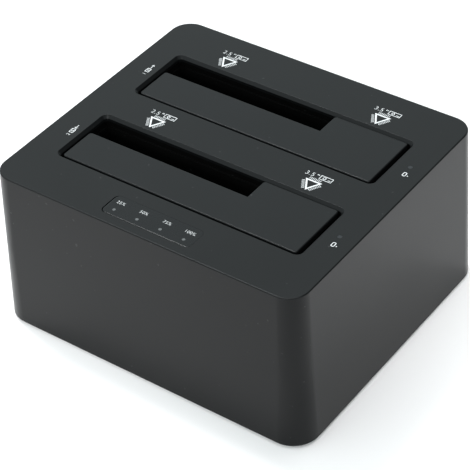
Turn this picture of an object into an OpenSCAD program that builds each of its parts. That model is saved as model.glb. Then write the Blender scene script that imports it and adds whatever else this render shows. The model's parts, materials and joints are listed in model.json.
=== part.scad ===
// Docking station for two hard drives: a drafted housing with two sprung bay doors on top,
// a drive socket at the foot of each bay and the connectors in a recess at the back.
// Millimetres. X runs along the bays, Y to the back, Z up from the surface it stands on.

/* [Enclosure] */
// Width at the bottom edge
body_w = 136; // [134.5:0.5:150]
// Depth at the bottom edge
body_d = 121; // [119.5:0.5:134]
// Height of the walls, from their bottom edge to the top face
body_h = 66; // [63:0.5:80]
// Slope of the walls, in degrees
draft = 2; // [0.5:0.25:2.5]
// Radius of the upright corners at the bottom edge
corner_r = 10.5; // [9:0.5:12]
// Rounding of the top edge
edge_r = 0.5; // [0.2:0.1:1.6]
// Thickness of the walls
wall_t = 2.2; // [1.9:0.1:2.4]
// Thickness of the top
top_t = 2.4; // [2.2:0.1:3]
// Thickness of the base plate
base_t = 2.5; // [2.2:0.1:3]
// Gap round pieces that fit into one another
fit_gap = 0.15; // [0.1:0.05:0.2]

/* [Feet and posts] */
// Height of the feet below the base plate
foot_h = 1.5; // [1:0.1:3]
// Radius of a foot
foot_r = 6; // [4:0.25:6.25]
// Depth of a foot's seat in the base plate
foot_seat = 1; // [0.5:0.1:1.2]
// Distance of a foot's centre from the enclosure's sides
foot_inset = 18.5; // [18:0.5:24]
// Radius of a screw post
post_r = 3.4; // [3:0.1:3.6]
// Distance of a post's centre from the enclosure's sides
post_inset = 11; // [10.5:0.25:11.5]
// Height of the raised seat under a post
post_seat_h = 1.5; // [1:0.1:2]

/* [Drive bays] */
// Length of a bay, for drives 101.6 wide
slot_l = 104; // [103:0.25:105]
// Width of a bay, for drives 26.1 thick
slot_w = 27.5; // [27:0.25:28]
// Distance between the two bays
bay_pitch = 45.4; // [44.5:0.1:46.4]
// Width of the bevel round an opening
bevel_w = 1; // [0.6:0.1:1.4]
// Depth of the bevel round an opening
bevel_h = 1.2; // [0.8:0.1:1.6]
// Rounding of an opening's rim, above the bevel
rim_r = 0.2; // [0.1:0.05:1.5]
// Corner radius of an opening, below the bevel
slot_corner_r = 1.8; // [1:0.1:3]
// Length of the opening left free for drives 69.85 wide
small_l = 71.4; // [70.8:0.1:73]
// Width of the opening left free for drives 9.5 thick
small_w = 10.8; // [10.2:0.1:12]
// Wall thickness of a drive guide
guide_t = 1.8; // [1.4:0.1:2]
// Depth of the wider upper part of a drive guide, from the top face
lead_h = 5.4; // [4:0.2:10]
// Height of the bay floor above the main board
floor_rise = 6.4; // [6.4:0.1:8]

/* [Bay doors] */
// Thickness of a door
door_t = 2; // [1.6:0.1:2.2]
// Depth of a door's face below the top face
door_recess = 0.5; // [0.3:0.05:0.8]
// Gap between a door and the ends of its opening
door_end_gap = 1.3; // [0.6:0.1:1.6]
// Gap between a door and the sides of its opening
door_side_gap = 0.5; // [0.5:0.05:0.8]
// Rounding of a door's upper edges
door_edge_r = 0.5; // [0.3:0.05:0.7]
// Corner radius of a door
door_corner_r = 1.2; // [0.8:0.1:2]
// Radius of a hinge pin
pin_r = 1; // [0.7:0.05:1.1]
// Radius of a hinge knuckle
knuckle_r = 2; // [1.8:0.1:2.2]
// Gap between a knuckle and its pin
pin_gap = 0.05; // [0.02:0.01:0.08]
// Distance of the knuckles from the middle of the door
knuckle_x = 38; // [30:1:42]
// Wire radius of a door spring
wire_r = 0.25; // [0.2:0.05:0.3]
// Whole curls of a door spring
spring_curls = 5; // [3:1:6]

/* [Indicators] */
// Length of the progress window
window_w = 38; // [37:0.5:44]
// Width of the progress window
window_d = 10; // [9.5:0.25:10.5]
// Corner radius of the progress window
window_r = 2; // [1.5:0.1:4]
// Thickness of the progress window
window_t = 1.6; // [1.2:0.1:1.7]
// Distance between two progress lights
light_pitch = 10; // [8:0.25:10]
// Radius of a progress light's face
light_r = 0.6; // [0.5:0.05:0.9]
// Radius of an activity light's face
lamp_r = 0.8; // [0.6:0.05:1.2]

/* [Connectors] */
// Width of the recess for the connectors
io_w = 100; // [96:1:104]
// Depth of that recess, from the bottom edge of the wall
io_depth = 3; // [2.6:0.1:3.2]
// Position of the USB socket along the back
usb_x = -10; // [-14:0.5:-6]
// Position of the power inlet along the back
jack_x = 13; // [10:0.5:18]
// Position of the power switch along the back
switch_x = 36; // [34:0.5:38]
// Position of the copy button along the back
button_x = -34; // [-38:0.5:-28]
// Radius of the power inlet's centre pin
jack_pin_r = 1; // [0.8:0.05:1.25]
// Tilt of the power rocker to either side, in degrees
rocker_tilt = 9; // [5:0.5:10]
// Travel of the copy button
button_travel = 0.7; // [0.3:0.05:0.8]
// Radius of the copy button's cap
button_r = 3; // [2.2:0.1:3.4]

/* [Hidden] */
$fn = 64;

housing_colour = [0.16, 0.165, 0.17];
door_colour = [0.17, 0.175, 0.18];
black_plastic = [0.08, 0.08, 0.085];
rubber_colour = [0.06, 0.06, 0.06];
steel_colour = [0.7, 0.7, 0.72];
gold_colour = [0.85, 0.68, 0.3];
board_colour = [0.05, 0.3, 0.16];
clear_colour = [0.85, 0.88, 0.9];
lamp_colour = [0.95, 0.95, 0.85];
blue_plastic = [0.1, 0.3, 0.7];
chip_colour = [0.1, 0.1, 0.11];
cable_colour = [0.55, 0.55, 0.57];

eps = 0.01;
arc_steps = 6;
travel_gap = 0.3;
slope = tan(draft);

// Levels
wall_z = foot_h;
top_z = wall_z + body_h;
ceiling_z = top_z - top_t;
base_top = wall_z + base_t;
standoff_h = 4;
board_t = 1.6;
board_z = base_top + standoff_h;
board_top = board_z + board_t;
floor_t = 1.8;
floor_top = board_top + floor_rise;
floor_z = floor_top - floor_t;

// Posts, feet and screws
post_at = [body_w / 2 - post_inset, body_d / 2 - post_inset];
foot_at = [body_w / 2 - foot_inset, body_d / 2 - foot_inset];
foot_chamfer = 0.9;
foot_taper = 0.3;
screw_r = 1.25;
screw_head_r = 2.4;
screw_head_h = 1.6;
screw_gap = 0.05;
housing_screw_l = 12;
guide_screw_l = 5;
board_screw_l = 5;
small_screw_r = 0.9;
small_screw_head_r = 1.8;
small_screw_head_h = 1.2;
small_screw_l = 4;
cross_w = 0.6;
cross_depth = 0.7;
cross_reach = 0.6;
hole_gap = 0.2;
head_gap = 0.3;
head_inset = 0.4;
seat_edge = 1.8;
seat_r = screw_head_r + seat_edge;

// Bays and doors
bay_y = [-bay_pitch / 2, bay_pitch / 2];
knuckle_gap = 0.4;
hinge_z = ceiling_z - knuckle_gap - knuckle_r;
door_face = top_z - door_recess;
door_under = door_face - door_t;
open_face = 0.7;
hinge_back = door_face - hinge_z - open_face;
rib_h = 1.2;
rib_w = 1.2;
rib_rows = [8, 13];
rib_end = 4;
swing_gap = 0.6;
guide_back_gap = 0.3;
lead_step = 0.6;
swing_depth = hinge_back + knuckle_r + swing_gap;
door_reach = hinge_back + slot_w - door_side_gap;
ledge_z = hinge_z - door_reach - door_t - rib_h - swing_gap;
knuckle_w = 6;
arm_t = 1.8;
arm_back = 3;
pin_skin = 0.6;
pin_l = slot_l + 2 * (guide_t - pin_skin);
pin_seat_gap = 0.02;
guide_near = slot_w / 2 + swing_depth + guide_t;
guide_far = slot_w / 2 + guide_back_gap + guide_t;
bay_gap = bay_pitch - guide_near - guide_far;
tab_w = 6;
tab_t = 2;
tab_end_gap = 0.9;
tab_l = bay_gap - tab_end_gap;
tab_boss_h = 4;
tab_boss_r = 2.4;
tab_boss_top = 0.4;
near_tab_inset = 12;
far_tab_inset = 32;
near_tab_x = slot_l / 2 - near_tab_inset;
far_tab_x = slot_l / 2 - far_tab_inset;
coil_gap = 0.35;
coil_r = pin_r + coil_gap + wire_r;
coil_l = 6.5;
coil_end_gap = 1;
coil_x = knuckle_x - knuckle_w / 2 - coil_end_gap - coil_l;
leg_down = 8;
leg_back = 9;
wire_sides = 6;
curl_rings = 8;

// Drive sockets
contact_pitch = 1.27;
signal_pins = 7;
power_pins = 15;
contact_end = 1.1;
socket_x = -20.5;
socket_inset = 4.8;
socket_base = [42, 6.4];
socket_floor_gap = 0.3;
socket_base_h = floor_rise - floor_t - socket_floor_gap;
socket_nose = [36, 4.8];
socket_out = 4.6;
socket_h = floor_rise + socket_out;
socket_slot_w = 1.5;
socket_slot_depth = 6;
socket_key = [1.2, 1.1];
socket_split = 2.4;
signal_l = (signal_pins - 1) * contact_pitch + 2 * contact_end;
power_l = (power_pins - 1) * contact_pitch + 2 * contact_end;
socket_row_l = signal_l + socket_split + power_l;
contact_size = [0.6, 0.3, 5];
socket_window_gap = 0.5;

// Indicators
window_inset = 11.5;
window_at = [0, -body_d / 2 + window_inset];
window_ledge = 1.6;
window_edge_r = 0.4;
light_shift = 2.05;
light_y = window_at[1] - light_shift;
light_rows = [-1.5, -0.5, 0.5, 1.5];
light_flange = 0.5;
light_foot_r = light_r + light_flange;
lamp_size = [1.6, 1.2, 0.8];
lamp_gap = 0.2;
panel_drop = 4;
panel_t = 1.2;
panel_top = ceiling_z - panel_drop;
panel_size = [56, 9.2];
panel_shift = 0.9;
panel_y = window_at[1] - panel_shift;
panel_boss_x = 24.5;
panel_boss_r = 2.2;
side_wall_x = body_w / 2 - wall_t - (body_h - top_t) * slope;
activity_x = (slot_l / 2 + guide_t + side_wall_x) / 2;
activity_dy = 1.2;
pipe_step = 0.25;
pipe_r = lamp_r + pipe_step;

// Main board
board_side_room = 5;
board_front_room = 5.75;
board_back_gap = 0.6;
board_w = body_w - 2 * board_side_room;
board_front = -body_d / 2 + board_front_room;
io_face = body_d / 2 - io_depth;
io_inner = io_face - wall_t;
board_back = io_inner - board_back_gap;
standoff_r = 3;
standoff_at = [46, 42];
notch_gap = 1;

// Connectors
io_sill = 5;
io_opening_h = 19.5;
io_low = wall_z + io_sill;
io_high = io_low + io_opening_h;
io_corner_r = 3;
io_z = board_top + 6.45;
usb_size = [12.1, 17, 12.6];
usb_inset = 0.2;
usb_corner_r = 0.6;
usb_low = [8.6, 7.9];
usb_hump = [5.9, 2.8];
usb_low_z = 0.9;
usb_depth = 10;
usb_back_t = 2;
usb_tongue = [5.5, 3.1];
usb_tongue_l = 7;
usb_blade = [4.4, 1.1];
usb_strip = [0.5, 0.15, 5.5];
usb_blade_rise = 0.5;
usb_wide_x = 1.25;
usb_close_x = 0.85;
jack_size = [9, 14, 11.4];
jack_nose_r = 4;
jack_bore_r = 3.15;
jack_depth = 9.6;
jack_floor = io_face - jack_depth;
jack_pin_l = 8.8;
jack_root_step = 0.2;
jack_root_r = jack_pin_r - jack_root_step;
jack_root_l = 2;
bezel_size = [15.4, 1.2, 10.8];
bezel_corner_r = 1;
frame_size = [13.4, 11, 9];
frame_corner_r = 0.5;
rocker_r = 5.5;
rocker_w = 6.8;
rocker_pivot_in = 0.65;
rocker_pivot_y = io_face - rocker_pivot_in;
rocker_edge = 2.5;
rocker_hollow = 1;
rocker_foot = [[4.4, -1.6], [1.5, -3.2]];
rocker_pocket = [2 * (rocker_r + travel_gap), 5, rocker_w + 2 * travel_gap];
trunnion_r = 0.9;
trunnion_gap = 0.05;
trunnion_out = 0.7;
trunnion_l = rocker_w + 2 * trunnion_out;
terminal_w = 3;
terminal_t = 0.8;
terminal_l = 3;
terminal_x = 3.5;
button_out = 1.2;
button_edge_r = 0.4;
button_rim = 1.2;
button_flange_r = button_r + button_rim;
button_flange_t = 1;
button_stem_r = 1.5;
button_stem_l = 2;
plunger_r = 1.7;
plunger_out = 1.2;
plunger_in = 0.8;
copy_switch_size = [7, 4, 9.6];
flange_y = io_inner - travel_gap;
copy_switch_y = flange_y - button_flange_t - button_stem_l - plunger_out;

// Board parts
bridge_size = [9, 9, 1];
memory_size = [5.2, 4, 1.5];
inductor_size = [6.8, 6.8, 3.8];
inductor_r = 1.2;
inductor_edge_r = 0.4;
capacitor_r = 2.5;
capacitor_h = 7;
chip_x = [24, 36];
inductor_x = [24, 36];
capacitor_x = [14, 24, 34];
capacitor_y = (bay_y[0] + bay_y[1] + guide_back_gap) / 2;
header_size = [12, 4, 3.2];
header_x = 12;
ribbon_size = [10, 0.8];

// Rounded rectangle whose outline moves out by each profile point's first number at the
// height given by its second.
module rounded_plate(low, high, r, profile) {
  bottom = profile[0][1];
  top = profile[len(profile) - 1][1];
  side = concat([[0, bottom]], [for (p = profile) [r + p[0], p[1]]], [[0, top]]);
  cx = [low[0] + r, high[0] - r];
  cy = [low[1] + r, high[1] - r];
  corners = [[1, 1], [0, 1], [0, 0], [1, 0]];
  lengths = [cy[1] - cy[0], cx[1] - cx[0], cy[1] - cy[0], cx[1] - cx[0]];
  for (k = [0:3]) {
    translate([cx[corners[k][0]], cy[corners[k][1]], 0])
      rotate([0, 0, 90 * k]) {
        rotate_extrude(angle = 90) polygon(side);
        rotate([90, 0, 0]) linear_extrude(lengths[k]) polygon(side);
      }
  }
  translate([cx[0], cy[0], bottom]) cube([cx[1] - cx[0], cy[1] - cy[0], top - bottom]);
}

// Profile of an upright edge of height h that ends in a rounding of radius r
function rounded_top(h, r) = concat([[0, 0]],
  [for (i = [0:arc_steps]) let (a = 90 * i / arc_steps) [r * (cos(a) - 1), h - r + r * sin(a)]]);

// Profile of a hole through a plate, with a bevel of width w and depth h round its mouth
// and a rounding of radius r where the bevel meets the plate's face
function bevelled_rim(low, w, h, r) = let (tilt = atan2(h, w), end = w + r * tan(tilt / 2))
  concat([[0, low], [0, -h]],
    [for (i = [0:arc_steps]) let (a = tilt * (1 - i / arc_steps)) [end - r * sin(a), r * (cos(a) - 1)]],
    [[end, 1]]);

// Outline of a rod of radius r and length h whose far edge is rounded
function rounded_rod(r, h, edge) = concat([for (p = rounded_top(h, edge)) [r + p[0], p[1]]], [[0, h]]);

// Profile of the drafted wall with its rounded top edge
function drafted_top(h, r) = let (c = -(r + (h - r) * sin(draft)) / cos(draft))
  concat([[0, 0]], [for (i = [0:arc_steps]) let (a = draft + (90 - draft) * i / arc_steps)
    [c + r * cos(a), h - r + r * sin(a)]]);

// Block with rounded corners seen from the back, between two depths
module back_block(x, z, size, r, y0, y1) {
  translate([x, y1, z])
    rotate([90, 0, 0])
      rounded_plate([-size[0] / 2, -size[1] / 2], [size[0] / 2, size[1] / 2], r,
        [[0, 0], [0, y1 - y0]]);
}

module back_cylinder(x, z, r, y0, y1) {
  translate([x, y1, z]) rotate([90, 0, 0]) cylinder(r = r, h = y1 - y0);
}

// Box that stands on height z, centred on x and y
module standing_box(x, y, z, size) {
  translate([x - size[0] / 2, y - size[1] / 2, z]) cube(size);
}

// Screw whose shank points up from the underside of its head
module screw(r, head_r, head_h, length) {
  difference() {
    union() {
      cylinder(r = r, h = length);
      translate([0, 0, -head_h]) cylinder(r = head_r, h = head_h);
    }
    for (a = [0, 90])
      rotate([0, 0, a])
        translate([-head_r * cross_reach, -cross_w / 2, -head_h - eps])
          cube([2 * head_r * cross_reach, cross_w, cross_depth + eps]);
  }
}

module at_corners(at) {
  for (sx = [-1, 1], sy = [-1, 1])
    translate([sx * at[0], sy * at[1], 0]) children();
}

// Two places on each long side of a drive guide, with Y leading away from its wall
module at_guide_sides(yc) {
  for (sx = [-1, 1]) {
    translate([sx * near_tab_x, yc - guide_near, 0]) rotate([0, 0, 180]) children();
    translate([sx * far_tab_x, yc + guide_far, 0]) children();
  }
}

module at_guide_tabs() {
  for (yc = bay_y) at_guide_sides(yc) translate([0, bay_gap / 2, 0]) children();
}

function hinge_y(yc) = yc - slot_w / 2 - hinge_back;

module housing_outside() {
  translate([0, 0, wall_z])
    rounded_plate([-body_w / 2, -body_d / 2], [body_w / 2, body_d / 2], corner_r,
      drafted_top(body_h, edge_r));
}

module housing_inside() {
  depth = body_h - top_t;
  translate([0, 0, wall_z])
    rounded_plate([-body_w / 2, -body_d / 2], [body_w / 2, body_d / 2], corner_r,
      [[-wall_t + slope, -1], [-wall_t - depth * slope, depth]]);
}

module bay_opening(yc) {
  half = [slot_l / 2, slot_w / 2];
  translate([0, yc, top_z])
    rounded_plate(-half, half, slot_corner_r, bevelled_rim(-top_t - 1, bevel_w, bevel_h, rim_r));
}

module window_opening() {
  half = [window_w / 2 + fit_gap, window_d / 2 + fit_gap];
  translate([window_at[0], window_at[1], top_z]) {
    rounded_plate(-half, half, window_r + fit_gap, [[0, -window_t], [0, 1]]);
    rounded_plate(-half, half, window_r + fit_gap, [[-window_ledge, -top_t - 1], [-window_ledge, 0]]);
  }
}

module connector_openings() {
  y0 = io_inner - 1;
  y1 = io_face + eps;
  back_block(usb_x, board_top + usb_size[2] / 2, [usb_size[0] + 2 * fit_gap, usb_size[2] + 2 * fit_gap],
    usb_corner_r + fit_gap, y0, y1);
  back_cylinder(jack_x, io_z, jack_nose_r + fit_gap, y0, y1);
  back_block(switch_x, io_z, [frame_size[0] + 2 * fit_gap, frame_size[2] + 2 * fit_gap],
    frame_corner_r + fit_gap, y0, y1);
  back_cylinder(button_x, io_z, button_r + travel_gap, y0, y1);
}

module upper_housing() {
  io_mid = (io_low + io_high) / 2;
  io_h = io_high - io_low;
  color(housing_colour)
    difference() {
      union() {
        difference() {
          housing_outside();
          housing_inside();
        }
        translate([-io_w / 2 - wall_t, io_inner, io_low - wall_t])
          cube([io_w + 2 * wall_t, body_d / 2 - wall_t - io_inner, io_h + 2 * wall_t]);
        at_corners(post_at)
          translate([0, 0, base_top + post_seat_h])
            cylinder(r = post_r, h = ceiling_z + eps - base_top - post_seat_h);
        at_guide_tabs()
          translate([0, 0, ceiling_z - tab_boss_h]) cylinder(r = tab_boss_r, h = tab_boss_h + eps);
        for (sx = [-1, 1])
          translate([sx * panel_boss_x, panel_y, panel_top])
            cylinder(r = panel_boss_r, h = panel_drop + eps);
      }
      for (yc = bay_y) bay_opening(yc);
      window_opening();
      for (yc = bay_y)
        translate([activity_x, yc + activity_dy, ceiling_z - 1])
          cylinder(r = lamp_r + screw_gap, h = top_t + 2);
      back_block(0, io_mid, [io_w, io_h], io_corner_r, io_face, body_d / 2 + 1);
      connector_openings();
      at_corners(post_at)
        translate([0, 0, base_top]) cylinder(r = screw_r + screw_gap, h = housing_screw_l);
      at_guide_tabs()
        translate([0, 0, ceiling_z - tab_boss_h - eps])
          cylinder(r = small_screw_r + screw_gap, h = tab_boss_h - tab_boss_top);
      for (sx = [-1, 1])
        translate([sx * panel_boss_x, panel_y, panel_top - eps])
          cylinder(r = small_screw_r + screw_gap, h = panel_drop - tab_boss_top);
    }
}

module base_plate() {
  vent = [2, 30];
  vent_pitch = 5;
  vents = 9;
  inset = wall_t + fit_gap;
  color(housing_colour)
    difference() {
      union() {
        translate([0, 0, wall_z])
          rounded_plate([-body_w / 2, -body_d / 2], [body_w / 2, body_d / 2], corner_r,
            [[-inset, 0], [-inset - base_t * slope, base_t]]);
        at_corners(post_at)
          translate([0, 0, base_top - eps]) cylinder(r = seat_r, h = post_seat_h + eps);
        at_corners(standoff_at)
          translate([0, 0, base_top - eps]) cylinder(r = standoff_r, h = standoff_h + eps);
      }
      at_corners(post_at) {
        translate([0, 0, wall_z - 1]) cylinder(r = screw_r + hole_gap, h = base_t + post_seat_h + 2);
        translate([0, 0, wall_z - 1])
          cylinder(r = screw_head_r + head_gap, h = screw_head_h + head_inset + 1);
      }
      at_corners(foot_at)
        translate([0, 0, wall_z - 1]) cylinder(r = foot_r + fit_gap, h = foot_seat + 1);
      at_corners(standoff_at)
        translate([0, 0, base_top]) cylinder(r = screw_r + screw_gap, h = standoff_h + 1);
      for (i = [0:vents - 1])
        translate([(i - (vents - 1) / 2) * vent_pitch - vent[0] / 2, -vent[1] / 2, wall_z - 1])
          cube([vent[0], vent[1], base_t + 2]);
    }
}

module rubber_feet() {
  color(rubber_colour)
    at_corners(foot_at)
      rotate_extrude()
        polygon([[0, 0], [foot_r - foot_chamfer, 0], [foot_r - foot_taper, foot_chamfer / 2],
          [foot_r, foot_h], [foot_r, foot_h + foot_seat], [0, foot_h + foot_seat]]);
}

module housing_screws() {
  color(steel_colour)
    at_corners(post_at)
      translate([0, 0, wall_z + screw_head_h + head_inset])
        screw(screw_r, screw_head_r, screw_head_h, housing_screw_l - 1);
}

// Outline of a bay's space seen from its end: room for the open door above the ledge,
// close to the drive below it, grown by t on every side but the top.
function guide_outline(yc, t) = let (near = yc - slot_w / 2, far = yc + slot_w / 2 + guide_back_gap)
  [[near - swing_depth - t, ceiling_z], [far + t, ceiling_z], [far + t, floor_top - t],
    [near - t, floor_top - t], [near - t, ledge_z - t * 0.4],
    [near - swing_depth - t, ledge_z + swing_depth - t * 0.4]];

module along_bay(length) {
  translate([-length / 2, 0, 0])
    rotate([90, 0, 90]) linear_extrude(length) children();
}

module drive_guide(yc) {
  socket_y = yc + slot_w / 2 - socket_inset;
  difference() {
    union() {
      along_bay(slot_l + 2 * guide_t) polygon(guide_outline(yc, guide_t));
      at_guide_sides(yc)
        translate([-tab_w / 2, -eps, ceiling_z - tab_boss_h - tab_t]) cube([tab_w, tab_l + eps, tab_t]);
    }
    translate([0, 0, eps]) along_bay(slot_l) polygon(guide_outline(yc, 0));
    standing_box(0, yc + (guide_back_gap + lead_step) / 2, top_z - lead_h,
      [slot_l + 2 * lead_step, slot_w + guide_back_gap + lead_step, lead_h]);
    standing_box(socket_x, socket_y, floor_z - 1,
      [socket_nose[0] + 2 * socket_window_gap, socket_nose[1] + 2 * socket_window_gap, floor_t + 2]);
    translate([-pin_l / 2, hinge_y(yc), hinge_z])
      rotate([0, 90, 0]) cylinder(r = pin_r + pin_seat_gap, h = pin_l);
    at_guide_sides(yc)
      translate([0, bay_gap / 2, ceiling_z - tab_boss_h - tab_t - 1])
        cylinder(r = small_screw_r + hole_gap, h = tab_t + 2);
  }
}

module front_drive_guide() {
  color(black_plastic) drive_guide(bay_y[0]);
}

module rear_drive_guide() {
  color(black_plastic) drive_guide(bay_y[1]);
}

module guide_screws() {
  color(steel_colour)
    at_guide_tabs()
      translate([0, 0, ceiling_z - tab_boss_h - tab_t])
        screw(small_screw_r, small_screw_head_r, small_screw_head_h, guide_screw_l);
}

// L-shaped flap that leaves the small-drive opening free, with two hinge knuckles that
// reach forward under the rim.
module bay_door(yc) {
  x0 = -slot_l / 2 + door_end_gap;
  x1 = slot_l / 2 - door_end_gap;
  x_cut = -slot_l / 2 + small_l;
  y0 = yc - slot_w / 2 + door_side_gap;
  y1 = yc + slot_w / 2 - door_side_gap;
  y_cut = yc + slot_w / 2 - small_w;
  y_hinge = hinge_y(yc);
  profile = rounded_top(door_t, door_edge_r);
  difference() {
    union() {
      translate([0, 0, door_under]) {
        rounded_plate([x0, y0], [x1, y_cut], door_corner_r, profile);
        rounded_plate([x_cut, y0], [x1, y1], door_corner_r, profile);
      }
      for (row = rib_rows)
        translate([x0 + rib_end, y0 + row - rib_w / 2, door_under - rib_h])
          cube([x1 - x0 - 2 * rib_end, rib_w, rib_h + eps]);
      for (sx = [-1, 1])
        translate([sx * knuckle_x - knuckle_w / 2, y_hinge, hinge_z]) {
          rotate([0, 90, 0]) cylinder(r = knuckle_r, h = knuckle_w);
          translate([0, 0, knuckle_r - arm_t]) cube([knuckle_w, y0 + arm_back - y_hinge, arm_t]);
          translate([0, y0 - y_hinge, knuckle_r - arm_t])
            cube([knuckle_w, arm_back, door_under + eps - hinge_z - knuckle_r + arm_t]);
        }
    }
    translate([-slot_l / 2, y_hinge, hinge_z])
      rotate([0, 90, 0]) cylinder(r = pin_r + pin_gap, h = slot_l);
  }
}

module front_bay_door() {
  color(door_colour) bay_door(bay_y[0]);
}

module rear_bay_door() {
  color(door_colour) bay_door(bay_y[1]);
}

module hinge_pin(yc) {
  translate([-pin_l / 2, hinge_y(yc), hinge_z]) rotate([0, 90, 0]) cylinder(r = pin_r, h = pin_l);
}

module front_hinge_pin() {
  color(steel_colour) hinge_pin(bay_y[0]);
}

module rear_hinge_pin() {
  color(steel_colour) hinge_pin(bay_y[1]);
}

// Line of the spring's wire: up the guide, round the pin and back under the door
spring_turn = 90 + 360 * spring_curls;
spring_rings = ceil(spring_turn / 360 * curl_rings);
spring_line = concat([[0, -coil_r, -leg_down]],
  [for (i = [0:spring_rings]) let (a = 180 - spring_turn * i / spring_rings)
    [coil_l * i / spring_rings, coil_r * cos(a), coil_r * sin(a)]],
  [[coil_l, leg_back, coil_r]]);

function unit(v) = v / norm(v);
function ring(line, i) = let (
    n = len(line),
    t = unit(line[min(i + 1, n - 1)] - line[max(i - 1, 0)]),
    u = unit(cross(t, [1, 0, 0])),
    v = cross(t, u))
  [for (k = [0:wire_sides - 1]) let (a = 360 * k / wire_sides)
    line[i] + wire_r * (u * cos(a) + v * sin(a))];
function wire_gap(line) = min([for (i = [1:len(line) - 2], j = [1:len(line) - 2])
  if (j - i > curl_rings / 2) norm(line[i] - line[j])]) - 2 * wire_r;

module door_spring(yc) {
  n = len(spring_line);
  s = wire_sides;
  points = [for (i = [0:n - 1], p = ring(spring_line, i)) p];
  sides = [for (i = [0:n - 2], k = [0:s - 1], half = [0, 1]) let (a = i * s + k, b = i * s + (k + 1) % s)
    half == 0 ? [a, b + s, b] : [a, a + s, b + s]];
  first = [for (k = [1:s - 2]) [0, k, k + 1]];
  last = [for (k = [1:s - 2]) [(n - 1) * s, (n - 1) * s + k + 1, (n - 1) * s + k]];
  translate([coil_x, hinge_y(yc), hinge_z]) polyhedron(points, concat(sides, first, last));
}

module front_door_spring() {
  color(steel_colour) door_spring(bay_y[0]);
}

module rear_door_spring() {
  color(steel_colour) door_spring(bay_y[1]);
}

module at_lights() {
  for (row = light_rows)
    translate([window_at[0] + row * light_pitch, light_y, 0]) children();
}

module progress_window() {
  half = [window_w / 2, window_d / 2];
  color(housing_colour)
    difference() {
      translate([window_at[0], window_at[1], top_z - window_t])
        rounded_plate(-half, half, window_r, rounded_top(window_t, window_edge_r));
      at_lights()
        translate([0, 0, top_z - window_t - 1]) cylinder(r = light_r + screw_gap, h = window_t + 2);
    }
}

module progress_light_guides() {
  foot_z = panel_top + lamp_size[2] + lamp_gap;
  color(clear_colour)
    at_lights()
      rotate_extrude()
        polygon([[0, foot_z], [light_foot_r, foot_z], [light_foot_r, top_z - window_t],
          [light_r, top_z - window_t], [light_r, top_z], [0, top_z]]);
}

module progress_board() {
  color(board_colour)
    difference() {
      standing_box(0, panel_y, panel_top - panel_t, [panel_size[0], panel_size[1], panel_t]);
      for (sx = [-1, 1])
        translate([sx * panel_boss_x, panel_y, panel_top - panel_t - 1])
          cylinder(r = small_screw_r + hole_gap, h = panel_t + 2);
    }
}

module progress_lamps() {
  color(lamp_colour)
    at_lights() standing_box(0, 0, panel_top, lamp_size);
}

module progress_board_screws() {
  color(steel_colour)
    for (sx = [-1, 1])
      translate([sx * panel_boss_x, panel_y, panel_top - panel_t])
        screw(small_screw_r, small_screw_head_r, small_screw_head_h, small_screw_l);
}

module light_pipe(yc) {
  foot_z = board_top + lamp_size[2] + lamp_gap;
  translate([activity_x, yc + activity_dy, 0])
    rotate_extrude()
      polygon([[0, foot_z], [pipe_r, foot_z], [pipe_r, ceiling_z], [lamp_r, ceiling_z],
        [lamp_r, top_z], [0, top_z]]);
}

module front_light_pipe() {
  color(clear_colour) light_pipe(bay_y[0]);
}

module rear_light_pipe() {
  color(clear_colour) light_pipe(bay_y[1]);
}

module activity_lamps() {
  color(lamp_colour)
    for (yc = bay_y) standing_box(activity_x, yc + activity_dy, board_top, lamp_size);
}

module main_board() {
  notch = [post_at[0] - seat_r - notch_gap, post_at[1] - seat_r - notch_gap];
  color(board_colour)
    difference() {
      translate([-board_w / 2, board_front, board_z])
        cube([board_w, board_back - board_front, board_t]);
      for (sx = [0, 1], sy = [0, 1])
        mirror([sx, 0, 0])
          mirror([0, sy, 0])
            translate([notch[0], notch[1], board_z - 1]) cube([board_w, body_d, board_t + 2]);
      at_corners(standoff_at)
        translate([0, 0, board_z - 1]) cylinder(r = screw_r + hole_gap, h = board_t + 2);
    }
}

module board_screws() {
  color(steel_colour)
    at_corners(standoff_at)
      translate([0, 0, board_top])
        rotate([180, 0, 0]) screw(screw_r, screw_head_r, screw_head_h, board_screw_l);
}

function socket_y(yc) = yc + slot_w / 2 - socket_inset;

// L-shaped slot of the drive socket that starts at x and is as long as its contacts need
module socket_slot(x, length) {
  translate([x, -socket_slot_w / 2, socket_h - socket_slot_depth])
    cube([length, socket_slot_w, socket_slot_depth + 1]);
  translate([x, -socket_slot_w / 2 - socket_key[1], socket_h - socket_slot_depth])
    cube([socket_key[0], socket_key[1] + eps, socket_slot_depth + 1]);
}

module drive_socket(yc) {
  translate([socket_x, socket_y(yc), board_top])
    difference() {
      union() {
        standing_box(0, 0, 0, [socket_base[0], socket_base[1], socket_base_h]);
        standing_box(0, 0, 0, [socket_nose[0], socket_nose[1], socket_h]);
      }
      socket_slot(-socket_row_l / 2, signal_l);
      socket_slot(-socket_row_l / 2 + signal_l + socket_split, power_l);
    }
}

module front_drive_socket() {
  color(black_plastic) drive_socket(bay_y[0]);
}

module rear_drive_socket() {
  color(black_plastic) drive_socket(bay_y[1]);
}

module contact_row(x, pins) {
  for (i = [0:pins - 1])
    translate([x + contact_end + i * contact_pitch - contact_size[0] / 2,
        socket_slot_w / 2 - contact_size[1], socket_h - socket_slot_depth])
      cube(contact_size);
}

module socket_contacts(yc) {
  translate([socket_x, socket_y(yc), board_top]) {
    contact_row(-socket_row_l / 2, signal_pins);
    contact_row(-socket_row_l / 2 + signal_l + socket_split, power_pins);
  }
}

module front_socket_contacts() {
  color(gold_colour) socket_contacts(bay_y[0]);
}

module rear_socket_contacts() {
  color(gold_colour) socket_contacts(bay_y[1]);
}

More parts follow.
